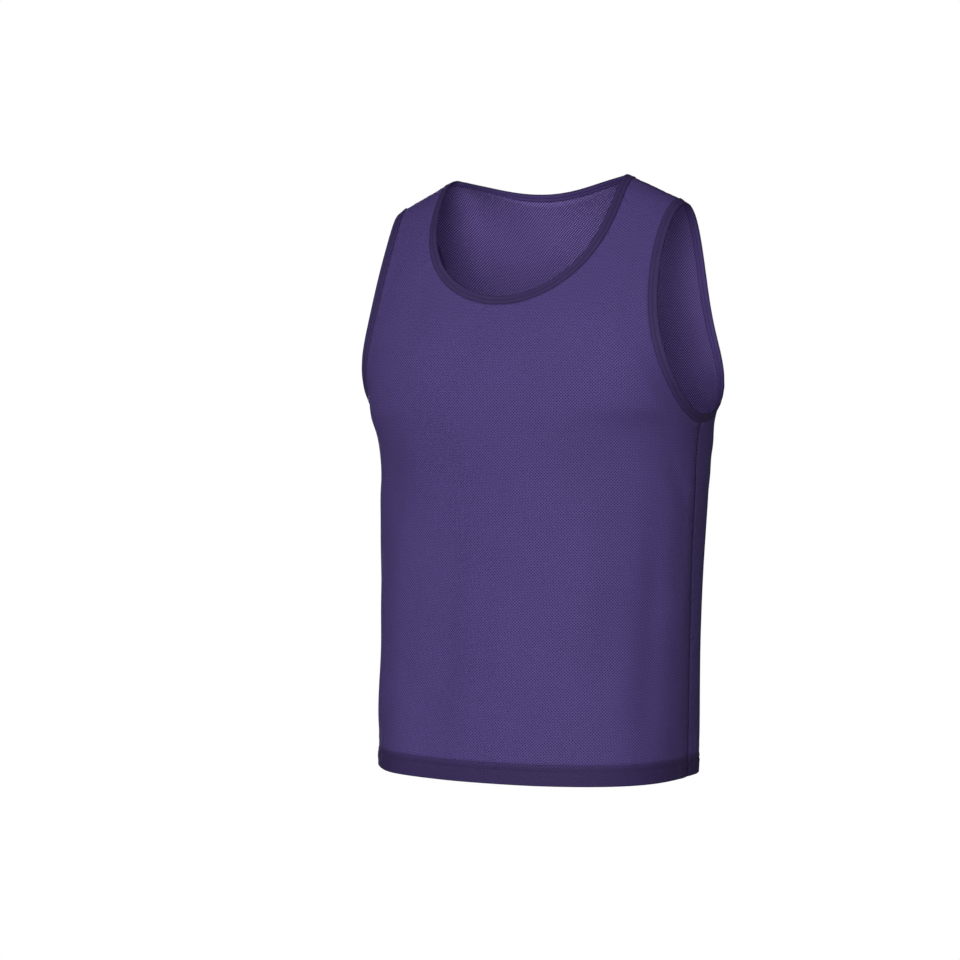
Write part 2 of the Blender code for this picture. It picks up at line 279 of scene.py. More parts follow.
def ridge(cut, x):
    """Height of the line over the shoulders that a panel reaches, at x from the centre."""
    t = np.abs(x) / LEVEL_AT
    inner = RIDGE_AT_CENTRE * (1 - t**2 * (3 - 2 * t)) + SHOULDER_SLOPE * LEVEL_AT * t**2 * (t - 1)
    crest = np.where(t > 1, SHOULDER_SLOPE * (np.abs(x) - LEVEL_AT), inner)
    if cut.facing < 0:
        return crest
    taut = TAUT_DIP * (t**TAUT_POWER - 1)
    corner = np.maximum(TAUT_ROUND - np.abs(crest - taut), 0)
    return np.minimum(crest, taut) - corner**2 / (4 * TAUT_ROUND)


def quarter_sections(cut, height):
    """x, depth and distance across, from the centre line to the side seam: arrays [height, sample]."""
    turn = np.linspace(0, math.pi / 2, SAMPLES)
    x = level("half_width", height)[:, None] * np.sin(turn) ** (2 / cut.roundness)
    depth = level(cut.depth, height)[:, None] * np.cos(turn) ** (2 / cut.roundness)
    steps = np.hypot(np.diff(x, axis=1), np.diff(depth, axis=1))
    return x, depth, np.pad(np.cumsum(steps, axis=1), ((0, 0), (1, 0)))


def half_girth(cut, height):
    height = np.atleast_1d(np.asarray(height, float))
    return quarter_sections(cut, height.ravel())[2][:, -1].reshape(height.shape)


def across_at(cut, x, height):
    """Distance across the panel at which it is x from the centre plane, for each of the places."""
    section_x, _, across = quarter_sections(cut, height)
    return np.array([np.interp(*row) for row in zip(x, section_x, across)])


def sunk_share(cut, across, height):
    """The share of the depth that the soft folds take off."""
    share = np.zeros_like(across)
    for fold in FOLDS:
        if fold.facing == cut.facing:
            sideways = (across - fold.across) / fold.reach_across
            upwards = (height - fold.height) / fold.reach_up
            share += fold.share * np.exp(-(sideways**2) - upwards**2)
    return share


def place(cut, pattern):
    """Points in space of pattern places, which are an array [..., 2]."""
    across, height = pattern[..., 0].ravel(), pattern[..., 1].ravel()
    section_x, section_depth, section_across = quarter_sections(cut, height)
    i = np.clip((section_across < across[:, None]).sum(axis=1) - 1, 0, SAMPLES - 2)
    row = np.arange(len(across))
    low, high = section_across[row, i], section_across[row, i + 1]
    t = np.clip((across - low) / (high - low), 0, 1)
    x = section_x[row, i] * (1 - t) + section_x[row, i + 1] * t
    depth = section_depth[row, i] * (1 - t) + section_depth[row, i + 1] * t
    depth *= 1 - sunk_share(cut, across, height)
    rise = np.clip((height - cut.fold_from) / (ridge(cut, x) - cut.fold_from), 0, 1)
    power = cut.fold_power - cut.centre_ease * bump_at(x, EASE_REACH)
    fold = (1 - rise**power) ** (1 / power)
    y = (level("seam_back", height) + cut.facing * depth) * fold + cut.facing * SEAM_GAP / 2
    return np.stack((x, y, height), axis=-1).reshape(*pattern.shape[:-1], 3)


def lengths_along(points):
    """Distance along a line of points, from its first one."""
    steps = np.linalg.norm(np.diff(points, axis=0), axis=-1)
    return np.concatenate((np.zeros((1,) + steps.shape[1:]), np.cumsum(steps, axis=0)))


def read_line(line, length, wanted):
    """Values of a line of points at the wanted distances, where length is each point's distance along it."""
    return np.stack([np.interp(wanted, length, column) for column in line.T], axis=1)


def evenly(cut, pattern, shares):
    """Places along a pattern line at these shares of its length in space."""
    length = lengths_along(place(cut, pattern))
    return read_line(pattern, length, np.asarray(shares) * length[-1])


def neck_line(cut):
    turn = np.linspace(0, math.pi / 2, SAMPLES)
    x = NECK_HALF_WIDTH * np.sin(turn) ** cut.neck_across
    end = ridge(cut, NECK_HALF_WIDTH)
    height = np.minimum(end - (cut.neck_drop + end) * np.cos(turn) ** cut.neck_down, ridge(cut, x))
    return np.stack((across_at(cut, x, height), height), axis=1)


def shoulder_line(cut):
    x = np.linspace(NECK_HALF_WIDTH, SHOULDER_TIP, SAMPLES)
    return np.stack((across_at(cut, x, ridge(cut, x)), ridge(cut, x)), axis=1)


def armhole_line(cut):
    tip = shoulder_line(cut)[-1]
    pit = np.array([half_girth(cut, UNDERARM)[0], UNDERARM])
    low = pit - (cut.arm_reach, cut.arm_dip)
    high = tip + (cut.arm_out, -cut.arm_down)
    t = np.linspace(0, 1, SAMPLES)[:, None]
    return (1 - t) ** 3 * pit + 3 * (1 - t) ** 2 * t * low + 3 * (1 - t) * t**2 * high + t**3 * tip


def column_shares():
    """Shares of the way across at which the columns stand, closer together by the side seam."""
    return np.concatenate((np.linspace(0, EVEN_UP_TO, EVEN_COLUMNS), EDGE_SHARES))


def body_pattern(cut):
    """Places below the neck and the underarm: level rows at the hem, sagging further up."""
    share = column_shares()[:, None]
    hem = np.linspace(-LENGTH, HEM_WIDTH - LENGTH, HEM_ROWS)
    centre_rise = (-cut.neck_drop - cut.join_level) * (1 - share) ** CENTRE_TURN
    side_rise = (UNDERARM - cut.join_level) * share**SIDE_TURN
    rise = np.linspace(0, 1, BODY_ROWS + 1)[1:]
    top = cut.join_level + centre_rise + side_rise
    body = hem[-1] + (top - hem[-1]) * rise
    heights = np.concatenate((np.broadcast_to(hem, (len(share), HEM_ROWS)), body), axis=1)
    return np.stack((share * half_girth(cut, heights), heights), axis=2)


def yoke_pattern(cut, bottom):
    """Places above the row called bottom, blended between the four edges."""
    t = np.linspace(0, 1, SAMPLES)
    top = evenly(cut, shoulder_line(cut), column_shares())
    neck = evenly(cut, neck_line(cut), t)
    armhole = evenly(cut, armhole_line(cut), t)
    u = column_shares()[:, None, None]
    t = t[None, :, None]
    bottom, top = bottom[:, None], top[:, None]
    corners = (1 - u) * ((1 - t) * bottom[0] + t * top[0]) + u * ((1 - t) * bottom[-1] + t * top[-1])
    blend = (1 - u) * neck[None] + u * armhole[None] + (1 - t) * bottom + t * top - corners
    shares = np.linspace(0, 1, YOKE_ROWS + 1)[1:] ** UNDERARM_CROWDING
    return np.array([evenly(cut, line, shares) for line in blend])


def outward(points, cut):
    """Unit normals of a half panel's grid, kept in the plane of symmetry and of the seams there."""
    body = slice(0, YOKE_START + 1)
    across = np.gradient(points, axis=0)
    across[0, body] = points[1, body] * (1, 0, 0)
    normal = np.cross(across, np.gradient(points, axis=1)) * -cut.facing
    normal[0, body, 0] = 0
    normal[-1, body, 1] = 0
    normal[:, -1, 1] = 0
    return unit(normal)


def unit(vectors):
    return vectors / np.linalg.norm(vectors, axis=-1, keepdims=True)


def bump_at(distance, reach):
    """1 where the distance is 0, falling smoothly to 0 beyond reach."""
    return np.exp(-((distance / reach) ** 2))


def smooth_step(start, end, value):
    t = np.clip((value - start) / (end - start), 0, 1)
    return t * t * (3 - 2 * t)


def waves(places, wavelength, seed, count=7):
    """Smooth uneven swells over a plane, about from -1 to 1."""
    chance = np.random.default_rng(SEED + seed)
    heading = chance.uniform(0, math.pi, count)
    number = 2 * math.pi / (wavelength * chance.uniform(0.7, 1.6, count))
    phase = chance.uniform(0, 2 * math.pi, count)
    total = 0
    for turn, k, start in zip(heading, number, phase):
        distance = places[..., 0] * math.cos(turn) + places[..., 1] * math.sin(turn)
        total = total + np.sin(k * distance + start)
    return total / math.sqrt(count)


def ripples(row, along, from_edge, seed):
    """The heights of one row of small waves, at these places along the edge and distances from it."""
    chance = np.random.default_rng(SEED + row.seed + seed)
    total = 0
    for stretch in RIPPLE_STRETCHES:
        phase = chance.uniform(0, 6.28)
        total = total + np.sin(2 * math.pi * along / (row.wavelength * stretch) + phase)
    evened = total / math.sqrt(len(RIPPLE_STRETCHES))
    return row.height * evened * bump_at(from_edge - row.from_edge, row.reach)


def crease_depth(cut, across, height):
    """How far the creases lift the cloth, or sink it below 0."""
    total = np.zeros_like(across)
    for row in FRONT_CREASES if cut.facing < 0 else BACK_CREASES:
        crease = Crease(*row)
        start = np.array([crease.across_from, crease.height_from])
        run = np.array([crease.across_to, crease.height_to]) - start
        offset = np.stack((across, height), axis=-1) - start
        t = (offset @ run) / (run @ run)
        side = (offset[..., 0] * run[1] - offset[..., 1] * run[0]) / np.linalg.norm(run)
        taper = np.exp(-np.abs(2 * t - 1) ** 3)
        reach = np.where(side > 0, crease.reach_right, crease.reach_left)
        total += crease.depth * bump_at(side, reach) * taper
    return total


Half = namedtuple("Half", "points normals across height flat_up from_bottom side_seam shoulder armhole neck")


def half_grid(cut):
    """The half panel on the wearer's left without its relief. Its distances to the edges are 1 where that
    edge isn't beside the row."""
    body = body_pattern(cut)
    pattern = np.concatenate((body, yoke_pattern(cut, body[:, -1])), axis=1)
    points = place(cut, pattern)
    across, height = pattern[..., 0], pattern[..., 1]
    run = np.linalg.norm(np.diff(points, axis=1), axis=2)
    up = np.sqrt(np.maximum(run**2 - np.diff(across, axis=1) ** 2, 0)) * np.sign(np.diff(height, axis=1))
    flat_up = np.pad(np.cumsum(up, axis=1), ((0, 0), (1, 0)))
    from_bottom = lengths_along(points.transpose(1, 0, 2)).T
    from_inner = lengths_along(points)
    to_outer = from_inner[-1] - from_inner
    yoke = np.arange(points.shape[1]) >= YOKE_START
    return Half(points, outward(points, cut), across, height, flat_up, from_bottom,
                np.where(yoke, 1.0, to_outer), from_bottom[:, -1:] - from_bottom,
                np.where(yoke, to_outer, 1.0), np.where(yoke, from_inner, 1.0))


def drape_relief(cut, half, across):
    """Creases, slow swells and the hem's sway."""
    to_seams = np.minimum.reduce([half.side_seam, half.armhole, half.shoulder])
    calm = smooth_step(0, CALM_BESIDE_SEAMS, to_seams) * smooth_step(0, CALM_BESIDE_NECK, half.neck)
    flat = np.stack((across, half.flat_up), axis=-1)
    out = crease_depth(cut, across, half.height)
    out += SWELL * waves(flat, SWELL_WAVELENGTH, SWELL_SEED + cut.facing)
    out += ripples(HEM_SWAY, across, half.height + LENGTH, cut.facing)
    return calm * out


def seam_relief(cut, half, across, seam):
    """The side and shoulder seams sink in and pucker, over the allowances where the back has them."""
    out = -SEAM_PULL * bump_at(half.side_seam, SEAM_PULL_REACH)
    puckers = ripples(SIDE_PUCKERS[cut.facing], half.flat_up, half.side_seam, seam)
    out += puckers * smooth_step(0, PUCKERS_FROM, half.side_seam)
    out += ripples(SHOULDER_PUCKERS, across, half.shoulder, seam)
    for distance in (half.side_seam, half.shoulder):
        out -= SEAM_DIP * bump_at(distance, SEAM_REACH)
        if cut.facing > 0:
            flank = smooth_step(*ALLOWANCE_RISE, distance) * smooth_step(*ALLOWANCE_FALL, distance)
            out += ALLOWANCE_LIFT * flank
    return out


def opening_relief(half, seam):
    """The armhole and the neck pucker beside their tapes, which sink into the cloth."""
    beside_chest = bump_at(half.height - ARM_PULL_HEIGHT, ARM_PULL_SPAN)
    out = -ARM_PULL * bump_at(half.armhole, ARM_PULL_REACH) * beside_chest
    runs = ((ARM_PUCKERS, half.flat_up, half.armhole), (NECK_PUCKERS, half.from_bottom[0], half.neck))
    for puckers, along, distance in runs:
        out += ripples(puckers, along, distance, seam) * smooth_step(0, PUCKERS_FROM, distance)
        out -= GROOVE * bump_at(distance - GRIP, GROOVE_REACH) * (1 - bump_at(half.shoulder, GROOVE_FREE))
    return out


def hem_relief(cut, half, across, side):
    """Dips along the hem's stitches, slanting puckers on the hem and small ones just over it."""
    above_hem = half.height + LENGTH
    out = -HEM_LINE_DIP * sum(bump_at(above_hem - line, HEM_LINE_REACH) for line in HEM_LINES)
    out += ripples(HEM_PUCKERS, across + HEM_LEAN * side * above_hem, above_hem, cut.facing)
    out += ripples(OVER_HEM_PUCKERS, across, above_hem, cut.facing)
    return out


def relief(cut, half, side):
    """How far the cloth stands out from its smooth form, on the wearer's left (side 1) or right (-1)."""
    across = half.across * side
    seam = 10 * side + cut.facing
    return (drape_relief(cut, half, across) + seam_relief(cut, half, across, seam)
            + opening_relief(half, seam) + hem_relief(cut, half, across, side))


class Sheets:
    """Grids of points gathered into one mesh, with their places on the flat cloth and on the bake's chart."""

    def __init__(self):
        self.points = []
        self.quads = []
        self.layers = {"cloth": [], "OFBake": [], "edges": []}
        self.count = 0

    def add(self, points, cloth, chart, turned=False, edges=None):
        """One grid, with its distances to the nearest seam, below 0 inside, and to the nearest tape."""
        columns, rows = points.shape[:2]
        ids = np.arange(columns * rows).reshape(columns, rows) + self.count
        quads = np.stack((ids[:-1, :-1], ids[1:, :-1], ids[1:, 1:], ids[:-1, 1:]), axis=-1).reshape(-1, 4)
        self.quads.append(quads[:, ::-1] if turned else quads)
        self.points.append(points.reshape(-1, 3))
        edges = np.ones((columns, rows, 2)) if edges is None else edges
        for layer, values in zip(self.layers.values(), (cloth, chart, edges)):
            layer.append(values.reshape(-1, 2))
        self.count += columns * rows

    def build(self, name, material):
        mesh = bpy.data.meshes.new(name)
        quads = np.concatenate(self.quads)
        mesh.from_pydata(np.concatenate(self.points).tolist(), [], quads.tolist())
        for layer, places in self.layers.items():
            uv = mesh.uv_layers.new(name=layer)
            uv.data.foreach_set("uv", np.concatenate(places)[quads].ravel())
        welded = bmesh.new()
        welded.from_mesh(mesh)
        bmesh.ops.remove_doubles(welded, verts=welded.verts, dist=WELD)
        open_edges = [edge for edge in welded.edges if edge.is_boundary]
        bmesh.ops.holes_fill(welded, edges=open_edges, sides=FOLD_ROWS + 2)
        welded.to_mesh(mesh)
        welded.free()
        return new_piece(name, mesh, material)


def add_object(name, data):
    added = bpy.data.objects.new(name, data)
    bpy.context.scene.collection.objects.link(added)
    return added


def new_piece(name, mesh, material):
    mesh.shade_smooth()
    mesh.materials.append(material)
    return add_object(name, mesh)


def panel_chart(cloth, inner):
    """Places on the bake's chart: the outer face on its left half, the inner face on its right half."""
    across = cloth[..., 0] + CHART_MIDDLE + inner * 2 * CHART_MIDDLE
    return np.stack((across, cloth[..., 1] + CHART_FOOT), axis=-1) / CHART_SPAN


def hem_fold(outer, inner, cloth):
    """Rows round the fold at the bottom of the hem, from the inner face to the outer one."""
    middle = (outer[:, 0] + inner[:, 0]) / 2
    outwards = (outer[:, 0] - inner[:, 0]) / 2
    drop = np.array([0, 0, -1]) * np.linalg.norm(outwards, axis=1, keepdims=True)
    turns = np.linspace(math.pi, 2 * math.pi, FOLD_ROWS + 2)[1:-1]
    rows = [middle + outwards * math.cos(turn) - drop * math.sin(turn) for turn in turns]
    places = [cloth[:, 0] + (0, HEM_CLOTH * (turn / math.pi - 2)) for turn in turns]
    return np.stack(rows, axis=1), np.stack(places, axis=1)


def cap(sheets, outer, inner, cloth, beside, turned, edges):
    """The narrow strip that closes the wall along one edge, laid out away from the line beside it."""
    strip = np.stack((outer, inner), axis=0)
    away = cloth - beside
    reach = away / np.maximum(np.linalg.norm(away, axis=1, keepdims=True), 1e-9) * CLOTH
    places = np.stack((cloth, cloth + reach), axis=0)
    sheets.add(strip, places, panel_chart(places, 0), turned, np.stack((edges, edges), axis=0))


def add_wall(sheets, outer, inner, cloth, edges, turned):
    """Half a panel: its inner face, its outer face with the fold at the hem, and its narrow edges."""
    inside = edges * (-1, 1)
    sheets.add(inner[:, ::-1], cloth[:, ::-1], panel_chart(cloth[:, ::-1], 1), turned, inside[:, ::-1])
    fold, fold_cloth = hem_fold(outer, inner, cloth)
    skirt = np.concatenate((inner[:, :1], fold, outer), axis=1)
    places = np.concatenate((cloth[:, :1] - (0, HEM_CLOTH), fold_cloth, cloth), axis=1)
    round_hem = np.concatenate((np.repeat(edges[:, :1], FOLD_ROWS + 1, axis=1), edges), axis=1)
    sheets.add(skirt, places, panel_chart(places, 0), turned, round_hem)
    for edge, beside, flipped in (
        (np.s_[-1], np.s_[-2], turned),  # side seam and armhole
        (np.s_[0, YOKE_START:], np.s_[1, YOKE_START:], not turned),  # neck
        (np.s_[:, -1], np.s_[:, -2], not turned),  # shoulder
    ):
        cap(sheets, outer[edge], inner[edge], cloth[edge], cloth[beside], flipped, edges[edge])


def wall_thickness(cut, to_seam):
    """Thickness of a half panel: double at the hem, more over the back's allowances, single at its edges."""
    thickness = np.full(to_seam.shape, CLOTH)
    if cut.facing > 0:
        thickness += ALLOWANCE_CLOTH * smooth_step(ALLOWANCE, ALLOWANCE - ALLOWANCE_EDGE, to_seam)
    thickness[:, -1] = CLOTH
    thickness[-1] = CLOTH
    thickness[:, :HEM_ROWS] = HEM_CLOTH
    return thickness


def panel(name, cut, material):
    """One panel as a closed thin wall. Returns it, its halves' outer points and normals, and its grid."""
    half = half_grid(cut)
    to_seam = np.minimum(half.side_seam, half.shoulder)
    edges = np.stack((to_seam, np.minimum(half.armhole, half.neck)), axis=-1)
    thickness = wall_thickness(cut, to_seam)[..., None]
    sheets = Sheets()
    faces = {}
    for side in (1, -1):
        flip = np.array([side, 1, 1])
        outer = half.points + half.normals * relief(cut, half, side)[..., None]
        inner = outer - half.normals * thickness
        for face in (outer, inner):
            face[-1, : YOKE_START + 1, 1] -= cut.facing * SEAM_GAP / 2
            face[:, -1, 1] -= cut.facing * SEAM_GAP / 2
        cloth = np.stack((half.across * side, half.flat_up), axis=-1)
        add_wall(sheets, outer * flip, inner * flip, cloth, edges, side * cut.facing > 0)
        faces[side] = (outer * flip, half.normals * flip)
    return sheets.build(name, material), faces, half


def edge_lines(front, back, side, columns):
    """The yoke's edge, the cloth beside it and its outward directions, up the front and down the back."""
    edge, beside = columns
    lines = []
    for layer, column in ((0, edge), (0, beside), (1, edge)):
        up, down = (faces[side][layer][column, YOKE_START:] for faces in (front, back))
        lines.append(np.concatenate((up[:-1], (up[-1:] + down[-1:]) / 2, down[-2::-1])))
    return lines


def armhole_ring(front, back, side):
    """Edge, cloth beside it and outward direction, round one armhole from the underarm up the front."""
    lines = edge_lines(front, back, side, ARM_COLUMNS)
    return [np.concatenate(((line[:1] + line[-1:]) / 2, line[1:-1])) for line in lines]


def neck_ring(front, back):
    """The same round the neck, from the centre front up the wearer's left and down the right."""
    halves = [edge_lines(front, back, side, NECK_COLUMNS) for side in (1, -1)]
    for _, beside, _ in halves:
        beside[[0, -1], 0] = 0
    return [np.concatenate((left, right[-2:0:-1])) for left, right in zip(*halves)]


def round_mean(values, reach):
    """Each value's mean with its neighbours round a closed line."""
    kernel = np.hanning(2 * reach + 3)[1:-1]
    total = sum(weight * np.roll(values, shift, axis=0)
                for weight, shift in zip(kernel, range(-reach, reach + 1)))
    return total / kernel.sum()


def square_to(along, vectors):
    """The vectors turned square to the directions along, as unit vectors."""
    return unit(vectors - along * (vectors * along).sum(axis=1, keepdims=True))


def close_line(line):
    return np.concatenate((line, line[:1]))


Ring = namedtuple("Ring", "edge along to_opening out length")


def even_ring(edge, cloth, outside):
    """The ring's edge and its directions at even steps all the way round."""
    closed = [close_line(line) for line in (edge, cloth, outside)]
    length = lengths_along(closed[0])
    count = round(length[-1] / RING_STEP)
    wanted = np.arange(count) / count * length[-1]
    edge, cloth, outside = (read_line(line, length, wanted) for line in closed)
    edge = round_mean(edge, EDGE_ROUNDING)
    along = unit(np.roll(edge, -1, axis=0) - np.roll(edge, 1, axis=0))
    to_opening = square_to(along, unit(round_mean(unit(edge - cloth), TURN_ROUNDING)))
    out = np.cross(along, to_opening)
    out *= np.sign((out * outside).sum(axis=1, keepdims=True))
    return Ring(edge, along, to_opening, out, length[-1])


def tape_path():
    """The middle of the folded tape's section as (towards the opening, outwards), and the way it faces."""
    top = TAPE_LIFT
    bottom = -CLOTH - TAPE_LIFT
    radius = (top - bottom) / 2
    end = BINDING_WIDTH - GRIP - radius - TAPE / 2
    across = np.linspace(-GRIP, end, TAPE_COLUMNS)
    middle = (end - GRIP) / 2
    crown = TAPE_CROWN * (1 - np.abs((across - middle) / (end - middle)) ** 4)
    crown -= TAPE_DIP * bump_at(across - middle, TAPE_DIP_REACH)
    turns = np.linspace(math.pi / 2, -math.pi / 2, TAPE_FOLD_COLUMNS + 2)[1:-1]
    front = np.stack((across, top + crown), axis=1)
    fold = np.stack((end + radius * np.cos(turns), (top + bottom) / 2 + radius * np.sin(turns)), axis=1)
    back = np.stack((across[::-1], bottom - crown[::-1]), axis=1)
    path = np.concatenate((front, fold, back))
    slope = np.gradient(path, axis=0)
    facing = unit(np.stack((-slope[:, 1], slope[:, 0]), axis=1))
    return path, facing


def binding(name, ring, material):
    """A tape folded over an edge and sewn in a ring."""
    path, facing = tape_path()
    outer = path + facing * TAPE / 2
    inner = path - facing * TAPE / 2
    section = close_line(np.concatenate((outer, inner[::-1])))
    girth = lengths_along(section)
    around = np.append(np.arange(len(ring.edge)), 0)
    points = (ring.edge[around][:, None] + ring.to_opening[around][:, None] * section[None, :, :1]
              + ring.out[around][:, None] * section[None, :, 1:])
    along = np.linspace(0, ring.length, len(around))
    cloth = np.stack(np.broadcast_arrays(along[:, None], girth[None, :]), axis=-1)
    chart = CHART_MARGIN + cloth * (1 - 2 * CHART_MARGIN) / ring.length
    turned = np.dot(np.cross(ring.along[0], ring.to_opening[0]), ring.out[0]) > 0
    sheets = Sheets()
    sheets.add(points, cloth, chart, turned)
    return sheets.build(name, material)


def capsule(sides=6, rings=5):
    """Points and faces of one stitch lying along X, 1 long and 1 thick, with blunt round ends."""
    t = np.linspace(-0.5, 0.5, rings)
    radius = 0.5 * np.sqrt(np.maximum(1 - (2 * t) ** 4, STITCH_END))
    turn = np.linspace(0, 2 * math.pi, sides, endpoint=False)
    points = np.array([(x, r * math.cos(a), r * math.sin(a)) for x, r in zip(t, radius) for a in turn])
    faces = []
    for ring in range(rings - 1):
        for side in range(sides):
            a, b = ring * sides + side, ring * sides + (side + 1) % sides
            faces.append((a, b, b + sides, a + sides))
    faces.append(tuple(range(sides))[::-1])
    faces.append(tuple(range((rings - 1) * sides, rings * sides)))
    return points, faces


def stitch_frames(path, out):
    """Centre, direction, side and upright of each stitch along a closed line with these outward vectors."""
    closed = close_line(path)
    length = lengths_along(closed)
    count = round(length[-1] / STITCH_PITCH)
    wanted = (np.arange(count) + 0.5) / count * length[-1]
    centre = read_line(closed, length, wanted)
    along = unit(read_line(closed, length, wanted + STITCH_LOOK_AHEAD) - centre)
    up = square_to(along, read_line(close_line(out), length, wanted))
    return zip(centre, along, np.cross(up, along), up)


def stitches(name, lines, material):
    """Stitches along closed lines: each line is points, outward directions and how far they stand out."""
    shape, shape_faces = capsule()
    points, faces = [], []
    for path, out, lift in lines:
        for centre, along, wide, up in stitch_frames(path, out):
            start = len(points) * len(shape)
            points.append(centre + up * lift + shape[:, :1] * along * STITCH_LENGTH
                          + shape[:, 1:2] * wide * 2 * THREAD + shape[:, 2:] * up * 1.5 * THREAD)
            faces.extend(tuple(i + start for i in face) for face in shape_faces)
    mesh = bpy.data.meshes.new(name)
    mesh.from_pydata(np.concatenate(points).tolist(), [], faces)
    return new_piece(name, mesh, material)


def binding_seams(rings):
    """The stitches' lines along the middle of both faces of each tape."""
    middle = (BINDING_WIDTH - 2 * GRIP) / 2
    lift = TAPE_LIFT + TAPE / 2 - TAPE_STITCH_DIP
    lines = []
    for ring in rings:
        path = ring.edge + ring.to_opening * middle
        lines.append((path, ring.out, lift))
        lines.append((path, -ring.out, CLOTH + lift))
    return lines


def hem_seams(front, back, half):
    """The stitches' lines all round, on the rows of the panels that are nearest to the hem's lines."""
    runs = ((front[-1], -1), (front[1], 1), (back[1], -1), (back[-1], 1))
    lines = []
    for line in HEM_LINES:
        row = int(np.argmin(np.abs(half.height[0, :HEM_ROWS] + LENGTH - line)))
        points, normals = (np.concatenate([faces[layer][::step, row] for faces, step in runs])
                           for layer in (0, 1))
        lines.append((points, normals, HEM_STITCH_LIFT))
    return lines


class Nodes:
    """Short calls for the nodes of a material or of the world."""

    def __init__(self, owner):
        owner.use_nodes = True
        self.owner = owner
        self.tree = owner.node_tree
        self.shader = self.tree.nodes.get("Principled BSDF")

    def put(self, node, inputs):
        """Set inputs of a node, by name or number, to a value or to what another node gives."""
        for key, value in inputs.items():
            if isinstance(value, bpy.types.NodeSocket):
                self.tree.links.new(value, node.inputs[key])
            else:
                node.inputs[key].default_value = value

    def node(self, kind, inputs=None, **settings):
        """A new shader node of this kind, with its settings and inputs."""
        node = self.tree.nodes.new("ShaderNode" + kind)
        for key, value in settings.items():
            setattr(node, key, value)
        self.put(node, inputs or {})
        return node

    def math(self, operation, *values):
        return self.node("Math", dict(enumerate(values)), operation=operation).outputs[0]

    def times(self, first, second):
        return self.math("MULTIPLY", first, second)

    def span(self, value, low, high, to_low=0.0, to_high=1.0):
        """Smoothly from to_low to to_high as value goes from low to high."""
        inputs = dict(enumerate((value, low, high, to_low, to_high)))
        return self.node("MapRange", inputs, interpolation_type="SMOOTHSTEP").outputs[0]

    def mix(self, share, first, second):
        inputs = {"Factor": share, "A": first, "B": second}
        return self.node("Mix", inputs, data_type="RGBA").outputs["Result"]

    def mix_shader(self, share, first, second):
        return self.node("MixShader", {0: share, 1: first, 2: second}).outputs[0]

    def scaled(self, colour, amount):
        inputs = {0: colour[:3], "Scale": amount}
        return self.node("VectorMath", inputs, operation="SCALE").outputs[0]

    def noise(self, place, scale, detail):
        inputs = {"Vector": place, "Scale": scale, "Detail": detail}
        return self.node("TexNoise", inputs).outputs["Fac"]

    def mottle(self, place, scale, detail, low, high):
        """Noise as a factor from low to high."""
        return self.span(self.noise(place, scale, detail), 0.3, 0.7, low, high)

    def mark(self, distance, reach, core, strength=1.0):
        """Painted shade of this strength where distance is under core, fading to 0 at reach."""
        return self.times(strength, self.span(distance, reach, core))

    def line_at(self, value, at, reach, core, strength=1.0):
        """The same on both sides of the place where value is at."""
        return self.mark(self.math("ABSOLUTE", self.math("SUBTRACT", value, at)), reach, core, strength)

    def strongest(self, shade_marks):
        total = shade_marks[0]
        for mark in shade_marks[1:]:
            total = self.math("MAXIMUM", total, mark)
        return total

    def chart_place(self, name):
        """The place on one of the mesh's charts: the vector and its two parts."""
        uv = self.node("UVMap", uv_map=name).outputs[0]
        parts = self.node("SeparateXYZ", {0: uv}).outputs
        return uv, parts[0], parts[1]

    def bump(self, height, distance, strength):
        node = self.node("Bump", {"Height": height, "Distance": distance, "Strength": strength})
        self.put(self.shader, {"Normal": node.outputs[0]})

    def finish(self, colour, roughness, sheen):
        """Polyester yarn: little gloss and a faint violet sheen."""
        self.put(self.shader, {
            "Base Color": colour,
            "Roughness": roughness,
            "Sheen Weight": sheen,
            "Sheen Roughness": 0.45,
            "Sheen Tint": SHEEN_TINT,
            "Specular IOR Level": 0.18,
        })
        return self.owner


# Colours of the yarn and of the net's holes: single cloth outside, with painted shade in its holes, and
# inside, with painted light in its holes where light comes through them; the double cloth of the hem, painted
# darker as shade; the tapes and the thread; and a factor of painted light for the tapes' inner face.
YARN = (0.094, 0.062, 0.232, 1)
PAINTED_SHADE_HOLE = (0.029, 0.018, 0.076, 1)
INNER_YARN = (0.094, 0.061, 0.23, 1)
PAINTED_LIGHT_HOLE = (0.4, 0.282, 0.74, 1)
HEM_PAINTED_SHADE_YARN = (0.046, 0.029, 0.113, 1)
HEM_PAINTED_SHADE_HOLE = (0.024, 0.014, 0.06, 1)
TAPE_YARN = (0.048, 0.031, 0.115, 1)
TAPE_INNER_PAINTED_LIGHT = 2.1
SEAM_SHADE = (0.012, 0.008, 0.03, 1)
THREAD_COLOUR = (0.032, 0.02, 0.078, 1)
SHEEN_TINT = (0.5, 0.38, 0.95, 1)
CLOTH_SHEEN = 0.015
THREAD_SHEEN = 0.1

# The net: its pitch, how far its yarn wanders, how its crossings melt together, where its holes begin and
# are full, and the small twists of its yarn. The hem's double cloth and its painted shade fade out over its
# upper edge.
MESH_PERIOD = 0.0033
WANDER = 0.0004
CROSSING = 0.6
HOLE_SPAN = (0.15, -0.35)
TWISTS = 3.0
TWIST_HEIGHT = 0.12
NET_BUMP = 0.00016
HEM_SPAN = (HEM_WIDTH + 0.001, HEM_WIDTH - 0.0065)
# The switch to the inner face's colours, with painted light in its holes, where the distance to the seam is
# below 0.
INSIDE_SPAN = (0.0, -1e-6)

# The tape's ribs along it and the loops across them.
RIB = 0.00075
LOOP = 0.00062
TAPE_BUMP = 0.00006
THREAD_BUMP = 0.00003
